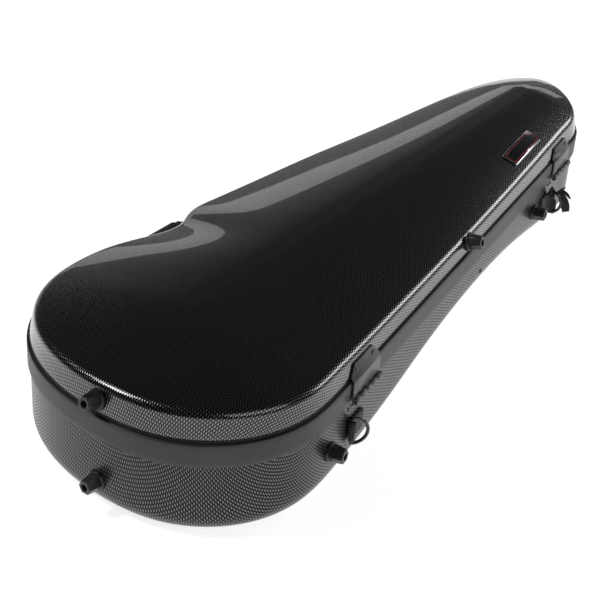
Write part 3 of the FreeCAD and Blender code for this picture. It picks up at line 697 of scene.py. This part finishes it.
def strap(name, matrix, path, across, half, thick, body, slot, replaces=(), steps=48, curl=0.0):
    """A flat band along a path, as a piece of its own."""
    points, faces = strap_points(path, across, half, thick, steps, curl)
    return add_piece(name, placed_rows(matrix, points), faces, body, slot, replaces, sharp=60.0)


def tube(name, matrix, centre, radii, body, slot, replaces=(), segments=32):
    """A round bar of changing radius along a line of points."""
    centre = np.asarray(centre, float)
    along = unit(np.gradient(centre, axis=0))
    verts = []
    for c, a, r in zip(centre, along, radii):
        verts += circle_points(c, a, UP, r, segments)
    verts = placed_rows(matrix, verts)
    return add_piece(name, verts, capped_faces(len(centre), segments), body, slot, replaces, sharp=50.0)


def stitches(name, matrix, places, body, slot="webbing", length=2.2, radius=0.22, material=None):
    """Short thread beads; each place is a point and the direction that the thread runs in."""
    profile = [(-0.5, 0.25), (-0.38, 0.85), (0.0, 1.0), (0.38, 0.85), (0.5, 0.25)]
    verts, faces = [], []
    for point, run in places:
        run = np.asarray(run, float) / np.linalg.norm(run)
        helper = UP if abs(run[2]) < 0.9 else SIDEWISE
        start = len(verts)
        for share, size in profile:
            centre = np.asarray(point, float) + run * length * share
            verts += circle_points(centre, run, helper, radius * size, BEAD_SIDES)
        faces += [tuple(start + i for i in face) for face in capped_faces(len(profile), BEAD_SIDES)]
    return add_piece(name, placed_rows(matrix, verts), faces, body, slot, material=material or THREAD)


def stitch_line(start, end, count):
    """Places for stitches, evenly spaced from start to end."""
    start, end = np.array(start, float), np.array(end, float)
    return [(start + (end - start) * (k + 0.5) / count, end - start) for k in range(count)]


# ---- D-ring tabs and ribbon --------------------
TAB_TURNS = 9             # points round the ring's bar
WEBBING_THICK = 1.2
WEBBING_ROUND = 2.45      # radius of the strip's middle line round the bar
TAB_THREAD_OUT = 2.72     # stitches on the outer layer, out from the wall


def dring_matrix(number):
    """At a ring's place on the wall; the first ring's tab points the other way."""
    matrix = wall_matrix(*DRING_AT[number - 1])
    return matrix @ Matrix.Rotation(math.pi, 4, "X") if number == 1 else matrix


def make_tab(number):
    """Webbing laid along the wall, round the bar and back, with a stitched box."""
    matrix = dring_matrix(number)
    path = [(0.75, -TAB_LENGTH, 0), (0.75, -14, 0), (0.75, -7, 0), (0.8, -3.2, 0)]
    for k in range(TAB_TURNS):
        a = math.radians(-110 + 250 * k / (TAB_TURNS - 1))
        path.append((DRING_BAR_OUT - WEBBING_ROUND * math.cos(a + 0.35),
                     WEBBING_ROUND * math.sin(a + 0.35), 0))
    path += [(2.9, -5.0, 0), (2.05, -8.0, 0), (2.05, -14, 0), (2.05, -TAB_LENGTH + 0.6, 0)]
    name = "dring_webbing_%d" % number
    stands_for = ["dring_tab_%d" % number]
    band = strap(name, matrix, path, (0, 0, 1), TAB_HALF, WEBBING_THICK, "base", "webbing", stands_for, 90)
    edge, near, far = TAB_HALF - 1.6, -8.5, -TAB_LENGTH + 2.0
    out, lines = TAB_THREAD_OUT, []
    for y in (near, far):
        lines += stitch_line((out, y, -edge), (out, y, edge), 7)
    for side in (-edge, edge):
        lines += stitch_line((out, near, side), (out, far, side), 5)
    thread = stitches("dring_stitches_%d" % number, matrix, lines, "base")


RIBBON_THICK = 0.5
SIDEWAYS, TWISTED, LYING = (0.92, 0.38, 0.0), (0.78, 0.5, 0.3), (0.2, 0.85, 0.45)
RIBBON_STRIPS = [          # points out of the wall, along it and up; half widths; side
    ([(5.5, -0.5, 7), (5.2, -1.2, 0), (5.6, -1.4, -7), (6.5, -1.2, -12.5)], [1.2, 3.6, 3.2, 0.8], SIDEWAYS),
    ([(6.0, -0.5, 5), (5.2, -1.0, 10), (5.2, -1.0, 14), (5.0, -0.8, 17.5)], [1.4, 3.4, 2.6, 0.6], SIDEWAYS),
    ([(6.8, 0.5, 6), (8.0, 0.4, -1), (8.6, 0.2, -8), (9.2, 0, -13)], [1.2, 3.2, 3.0, 1.6], SIDEWAYS),
    ([(7, 0.8, 6), (11, 1.4, 11), (16.5, 1.8, 13), (21, 1.8, 11), (25, 1.4, 7.5)],
     [1, 2, 2.2, 2, 0.8], LYING),
    ([(13, 1.4, 12), (15.5, 2.4, 15.5), (18, 2.6, 18.5)], [2.6, 2.2, 0.5], TWISTED),
    ([(13, 2.6, 11), (17, 2.8, 5), (20.5, 2.4, -1.5), (22.5, 2.0, -8)], [2.2, 4.4, 4.6, 3.6], SIDEWAYS),
]


def make_ribbon():
    """A ribbon tied round the ring's bow: a knot, two leaf-like tails, a loop and a broad end."""
    matrix = dring_matrix(2)
    points, faces = [], []
    length, area = 0.0, 0.0
    for path, half, side in RIBBON_STRIPS:
        strip, strip_faces = strap_points(path, side, half, RIBBON_THICK, 28, 0.7)
        faces += [tuple(len(points) + i for i in face) for face in strip_faces]
        points += strip
        line = smooth_path(path, 40)
        wide = smooth_path(np.array(half, float)[:, None], 40)[:-1, 0] * 2
        runs = np.linalg.norm(np.diff(line, axis=0), axis=1)
        length += runs.sum()
        area += float((runs * wide).sum())
    bow = add_piece("ribbon_bow", placed_rows(matrix, points), faces, "dring_2", "ribbon_fabric",
                    ["tag_ribbon"], sharp=60.0)
    knot_line = smooth_path([(5.2, -0.4, 8.2), (6.2, 0.2, 7.0), (7.2, 0.6, 5.6), (7.8, 0.8, 4.2)], 14)
    knot = tube("ribbon_knot", matrix, knot_line, [1.0 + 1.5 * math.sin(math.pi * k / 13) for k in range(14)],
                "dring_2", "ribbon_fabric", segments=20)


# ---- handle --------------------
HANDLE_CORNER = 7.0       # length that each corner's rounding takes from its two sides
HANDLE_ENDS = ((1, -1), (2, 1))       # number of each end and its side along Y
HANDLE_STITCHES = 11      # on each side of the middle


def handle_line(half):
    """Middle line of the handle: out along one arm, along the grip and back, corners rounded."""
    arm_y, corner_y = half - 7.0, half - 28.0
    corners = [(0, -arm_y), (-HANDLE_REACH, -corner_y), (-HANDLE_REACH, corner_y), (0, arm_y)]
    route = [np.array(corners[0], float)]
    for before, here, after in zip(corners, corners[1:], corners[2:]):
        before, here, after = (np.array(c, float) for c in (before, here, after))
        enter = here + (before - here) / np.linalg.norm(before - here) * HANDLE_CORNER
        leave = here + (after - here) / np.linalg.norm(after - here) * HANDLE_CORNER
        route += list(np.linspace(route[-1], enter, 8)[1:])
        for t in np.linspace(0, 1, 9)[1:]:
            route.append(enter * (1 - t) ** 2 + here * 2 * t * (1 - t) + leave * t * t)
    route += list(np.linspace(route[-1], np.array(corners[-1], float), 8)[1:])
    route = np.array(route)
    line = np.column_stack([route, np.zeros(len(route))])
    fine = []
    for a, b in zip(line, line[1:]):
        fine += [a + (b - a) * t for t in (0, 0.5)]
    return np.array(fine + [line[-1]])


def make_handle():
    """A leather-covered grip on two arms, each ending in a round boss and a pivot stub."""
    middle = sum(HANDLE_Y) / 2
    half = middle - HANDLE_Y[0]
    arm_y = half - 7.0
    x, z = HANDLE_AXIS
    droop = Matrix.Rotation(math.radians(-HANDLE_DROOP), 4, "Y")
    matrix = Matrix.Translation(Vector((x, middle, z)) * MM) @ droop
    line = handle_line(half)
    ends = np.clip((half - 29.0 - np.abs(line[:, 1])) / 5.0, 0, 1)
    arm_r = HANDLE_R - 2.5
    radii = arm_r + (HANDLE_R - arm_r) * ends * ends * (3 - 2 * ends)
    grip = tube("handle_grip", matrix, line, radii, "handle", "handle_leather", ["handle"], 40)
    for number, side in HANDLE_ENDS:
        stations = [(arm_y - 5.2, 1.6), (arm_y - 4.4, 3.4), (arm_y - 2.6, 4.3), (arm_y - 0.5, HANDLE_BOSS_R)]
        stations += [(half - 1.2, HANDLE_BOSS_R), (half - 0.6, 4.2), (half - 0.4, 3.4)]
        stations += [(half - 0.4, 2.0), (half + 8, 2.0)]
        rows = [(0, side * y, 0) for y, _ in stations]
        tube("handle_boss_%d" % number, matrix, rows, [r for _, r in stations], "handle", "black_plastic")
    places = []
    for k in range(-HANDLE_STITCHES, HANDLE_STITCHES + 1):
        places.append(((-HANDLE_REACH + HANDLE_R * 0.62, k * 2.2, -HANDLE_R * 0.8), (0, 1, 0)))
    stitches("handle_stitches", matrix, places, "handle", "handle_leather", 1.5, 0.28)
    for number, side in HANDLE_ENDS:
        y = side * (half - 27.0)
        rows = [(-HANDLE_REACH, y + side * step, 0) for step in (-0.9, 0, 0.9)]
        tube("handle_collar_%d" % number, matrix, rows, [5.6, 6.0, 5.6], "handle", "black_plastic")


# ---- lining, cradle, strap and pouch --------------------
CLOTH_PRESSURE, CLOTH_STEPS = 4.0, 20
ZIP_TEETH = 62


def clipped(mesh, node, slack=0.0):
    """Keeps a soft piece inside the box that its CAD solid fills."""
    low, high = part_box(node)
    for v in mesh.vertices:
        v.co = [min(max(v.co[k], low[k] - slack), high[k] + slack) for k in range(3)]


def evaluated(obj):
    """A new mesh of the object with its modifiers applied."""
    graph = bpy.context.evaluated_depsgraph_get()
    return bpy.data.meshes.new_from_object(obj.evaluated_get(graph))


def swell(obj, cap):
    """Blows a piece up as cloth under pressure, moving no point by more than cap."""
    start = [v.co.copy() for v in obj.data.vertices]
    cloth = obj.modifiers.new("cloth", "CLOTH")
    cloth.settings.use_pressure = True
    cloth.settings.uniform_pressure_force = CLOTH_PRESSURE
    cloth.settings.effector_weights.gravity = 0.0
    scene = bpy.context.scene
    for step in range(1, CLOTH_STEPS + 1):
        scene.frame_set(step)
    swollen = evaluated(obj)
    obj.modifiers.clear()
    obj.data = swollen
    for v, was in zip(obj.data.vertices, start):
        move = v.co - was
        if move.length > cap * MM:
            v.co = was + move.normalized() * cap * MM
    scene.frame_set(1)


def soft_block(node, name, body, slot, voxel, shrink=0.0, cap=0.0, smooth=6):
    """A CAD block remade as a padded form: remeshed, smoothed and, where cap says how far,
    swollen as cloth and subdivided."""
    data = NODES[node].data.copy()
    obj = bpy.data.objects.new(name, data)
    bpy.context.scene.collection.objects.link(obj)
    data.materials.clear()
    low, high = (Vector(c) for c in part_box(node))
    middle = (low + high) / 2
    if shrink:
        for v in data.vertices:
            for k in range(3):
                span = (high[k] - low[k]) / 2
                v.co[k] = middle[k] + (v.co[k] - middle[k]) * (span - shrink * MM) / span
    remesh = obj.modifiers.new("remesh", "REMESH")
    remesh.mode = "VOXEL"
    remesh.voxel_size = voxel * MM
    soft = obj.modifiers.new("soft", "SMOOTH")
    soft.iterations = smooth
    obj.data = evaluated(obj)
    obj.modifiers.clear()
    if cap:
        swell(obj, cap)
    clipped(obj.data, node)
    if cap:
        finer = obj.modifiers.new("finer", "SUBSURF")
        finer.levels = 1
        obj.data = evaluated(obj)
        obj.modifiers.clear()
    obj.data.materials.clear()
    adopt(obj, body, slot, [node], sharp=80.0)


def make_lid_lining():
    """A padded layer that follows the inside of the lid."""
    outer = lid_rings(WALL + LINER_GAP)
    inner = lid_rings(WALL + LINER_GAP + LID_LINER_THICK)
    obj = shell_piece("lid_plush_lining", outer, inner, "lid", "plush_lining", ["lid_liner"])


def make_neck_strap():
    """A band across the neck cradle, sewn down at both ends."""
    y0, y1 = CRADLE_Y[0] + 6, CRADLE_Y[1] - 6
    middle, half = (y0 + y1) / 2, (y1 - y0) / 2
    top = LINER_TOP + 0.9
    thread_z = top + 0.75
    path = [(-42, middle, top), (-30, middle, top), (-18, middle, top + 0.3), (0, middle, top + 0.5)]
    path += [(18, middle, top + 0.3), (30, middle, top), (42, middle, top)]
    band = strap("neck_band", Matrix.Identity(4), path, (0, 1, 0), half, 1.4, "base", "strap_fabric",
                 ["neck_strap"], 60)
    lines = []
    for side in (-1, 1):
        for x in (27.0, 39.0):
            lines += stitch_line((side * x, y0 + 2, thread_z), (side * x, y1 - 2, thread_z), 7)
    for y in (y0 + 2, y1 - 2):
        for x in (-39, 27):
            lines += stitch_line((x, y, thread_z), (x + 12, y, thread_z), 5)
    thread = stitches("neck_band_stitches", Matrix.Identity(4), lines, "base", "strap_fabric")


def make_pouch_zip():
    """Zip tape, teeth and two rows of stitches along the pouch's top."""
    x0, x1, y0, y1 = WELL
    x, top = (x0 + x1) / 2, 80.0
    route = [(x, y0 + 8, top - 0.3), (x, (y0 + y1) / 2, top - 0.1), (x, y1 - 8, top - 0.3)]
    strap("pouch_zip_tape", Matrix.Identity(4), route, (1, 0, 0), 5.0, 0.8, "base", "strap_fabric", steps=24)
    teeth = []
    for k in range(ZIP_TEETH):
        y = y0 + 10 + (y1 - y0 - 20) * k / (ZIP_TEETH - 1)
        teeth.append(((x + (0.45 if k % 2 else -0.45), y, top + 0.25), (1, 0, 0)))
    stitches("pouch_zip_teeth", Matrix.Identity(4), teeth, "base", "black_plastic", 1.8, 0.42,
             LOOKS["black_plastic"])
    lines = []
    for side in (-3.9, 3.9):
        lines += stitch_line((x + side, y0 + 9, top + 0.25), (x + side, y1 - 9, top + 0.25), 30)
    stitches("pouch_stitches", Matrix.Identity(4), lines, "base", "pouch_fabric", 2.0, 0.2)


# ---- badge --------------------
LINE_INSET = (2.2, 2.4)   # of the red line from the plate's edges, across and along
LINE_WIDTH = 0.5
LINE_UNDER, LINE_OVER = -0.1, 0.12    # how far it reaches below and above the plate's face
ABOVE_ALL = 200.0         # a height over the whole case


def make_badge():
    """Black blank plate with a bright bevel and a thin red frame line, no lettering."""
    plate = soften("badge_plate", "lid", "badge_metal", 0.8, 2, 40.0, BRIGHT_EDGE, "badge_blank")
    points = [v.co[:] for v in plate.data.vertices]
    tree = BVHTree.FromPolygons(points, [p.vertices[:] for p in plate.data.polygons])
    width, length = (size / 2 - inset for size, inset in zip(BADGE_SIZE, LINE_INSET))
    turn = hinge_turn()
    ring = []
    corners = [(-1, -1), (1, -1), (1, 1), (-1, 1)]
    for (ax, ay), (bx, by) in zip(corners, corners[1:] + corners[:1]):
        for t in np.linspace(0, 1, 25)[:-1]:
            ring.append(((ax + (bx - ax) * t), (ay + (by - ay) * t)))
    verts = []
    section = ((0.0, LINE_UNDER), (0.0, LINE_OVER), (LINE_WIDTH, LINE_OVER), (LINE_WIDTH, LINE_UNDER))
    for grow, lift in section:
        for sx, sy in ring:
            flat = turn @ Vector((sx * (width - grow), sy * (length - grow), 0)) + Vector((*BADGE_AT, 0))
            hit = tree.ray_cast(Vector((flat.x, flat.y, ABOVE_ALL)) * MM, Vector((0, 0, -1)))[0]
            verts.append((hit.x, hit.y, hit.z + lift * MM))
    faces = loop_faces(4, len(ring), closed=True)
    add_piece("badge_line", verts, faces, "lid", "badge_metal", material=RED_LINE)


# ---- camera, light, floor --------------------
CAMERA_AZIMUTH, CAMERA_ELEVATION, CAMERA_ROLL = 32.433, 30.929, 4.026
CAMERA_DISTANCE = 1.2474  # metres, like all lengths in this section
CAMERA_TARGET = Vector((0.016544, 0.153956, 0.070))
CAMERA_LENS, CAMERA_SENSOR = 86.16, 36.0      # millimetres
LIGHT_TARGET = (0.0, 0.28, 0.08)
LIGHTS = [                # name, size, watts, azimuth, elevation, distance
    ("backdrop", (3.2, 0.3), 2.6, -139, 11.5, 2.6),
    ("ridge", (1.6, 0.5), 14, 153, 22, 2.2),
    ("key", (0.5, 0.5), 12, -42, 46, 1.9),
    ("side", (1.6, 0.8), 6.5, 75, 30, 1.9),
]
WORLD_STRENGTH = 0.05
FLOOR_GLOW = 0.8
FLOOR_HALF, FLOOR_Z = 4.0, -0.0003


def direction(azimuth, elevation):
    """Unit vector from the azimuth, measured from -Y towards +X, and the height, in radians."""
    level = math.cos(elevation)
    return Vector((math.sin(azimuth) * level, -math.cos(azimuth) * level, math.sin(elevation)))


def make_camera():
    a, e, r = (math.radians(v) for v in (CAMERA_AZIMUTH, CAMERA_ELEVATION, CAMERA_ROLL))
    back = direction(a, e)
    right = Vector((math.cos(a), math.sin(a), 0.0))
    up = back.cross(right)
    x_axis = right * math.cos(r) + up * math.sin(r)
    y_axis = up * math.cos(r) - right * math.sin(r)
    data = bpy.data.cameras.new("camera")
    data.lens = CAMERA_LENS
    data.sensor_width = CAMERA_SENSOR
    data.clip_start = 0.05
    camera = bpy.data.objects.new("camera", data)
    camera.matrix_world = Matrix.Translation(CAMERA_TARGET + back * CAMERA_DISTANCE) @ Matrix(
        (x_axis, y_axis, back)).transposed().to_4x4()
    bpy.context.scene.collection.objects.link(camera)
    bpy.context.scene.camera = camera


def add_light(name, size, power, azimuth, elevation, distance):
    """A soft box facing the case; azimuth from -Y towards +X, in degrees."""
    data = bpy.data.lights.new(name, "AREA")
    data.shape = "RECTANGLE"
    data.size, data.size_y = size
    data.energy = power
    light = bpy.data.objects.new(name, data)
    away = direction(math.radians(azimuth), math.radians(elevation))
    light.location = Vector(LIGHT_TARGET) + away * distance
    light.rotation_euler = away.to_track_quat("Z", "Y").to_euler()
    light.visible_camera = False
    bpy.context.scene.collection.objects.link(light)


def make_stage():
    """Lights, a faint sky and a plain pale floor."""
    for light in LIGHTS:
        add_light(*light)
    world = bpy.data.worlds.new("world")
    world.use_nodes = True
    sky = world.node_tree.nodes["Background"]
    sky.inputs[0].default_value = (0.9, 0.95, 1.0, 1.0)
    sky.inputs[1].default_value = WORLD_STRENGTH
    bpy.context.scene.world = world
    look = Look("floor_white", Roughness=0.9, Specular_IOR_Level=0.0)
    soft = look.noise(look.place(), 3.0)
    look.color(look.mix(soft, (0.80, 0.80, 0.80), (0.83, 0.83, 0.83)))
    look.bsdf.inputs["Emission Color"].default_value = (1.0, 1.0, 1.0, 1.0)
    look.bsdf.inputs["Emission Strength"].default_value = FLOOR_GLOW
    mesh = bpy.data.meshes.new("floor")
    half = FLOOR_HALF
    corners = [(-half, -half, 0), (half, -half, 0), (half, half, 0), (-half, half, 0)]
    mesh.from_pydata(corners, [], [(0, 1, 2, 3)])
    floor = bpy.data.objects.new("floor", mesh)
    floor.location.z = FLOOR_Z
    mesh.materials.append(look.mat)
    bpy.context.scene.collection.objects.link(floor)
    bpy.context.scene.view_settings.view_transform = "Standard"


# ---- build --------------------
HARD_PARTS = [            # body, or none where the part is its own; CAD name; material; rounding
    ("base", "handle_bracket", "black_plastic", 0.7),
    ("base", "hinge_base_leaf", "hinge_metal", 0.25),
    ("base", "latch_plate", "latch_metal", 0.3),
    ("lid", "hinge_lid_leaf", "hinge_metal", 0.3),
    ("lid", "latch_keeper", "latch_metal", 0.25),
    ("lid", "bow_pocket", "black_plastic", 0.6),
    (None, "latch_lever", "latch_metal", 0.35),
    (None, "bow_spinner", "black_plastic", 0.5),
]

make_camera()
make_stage()
for subpart in frame["record"]["subparts"]:
    cad_materials = NODES[subpart["node"]].data.materials
    cad_materials.clear()
    cad_materials.append(LOOKS[subpart["material_slot"]])
make_lid_shell()
make_base_shell()
make_rim()
for foot_name, foot_place in FEET.items():
    make_foot(foot_name, foot_place)
for hard_body, hard_name, hard_slot, hard_edge in HARD_PARTS:
    for number in (1, 2):
        hard_node = "%s_%d" % (hard_name, number)
        soften(hard_node, hard_body or hard_node, hard_slot, hard_edge)
for number in (1, 2):
    make_tab(number)
make_ribbon()
make_handle()
soft_block("base_liner", "padded_lining", "base", "plush_lining", 4.5, smooth=4)
soft_block("neck_cradle", "neck_cradle_pad", "base", "plush_lining", 4.0, 2.5, 5.0)
soft_block("accessory_pouch", "pouch_pad", "base", "pouch_fabric", 4.0, 3.0, 6.0)
make_lid_lining()
make_neck_strap()
make_pouch_zip()
make_badge()
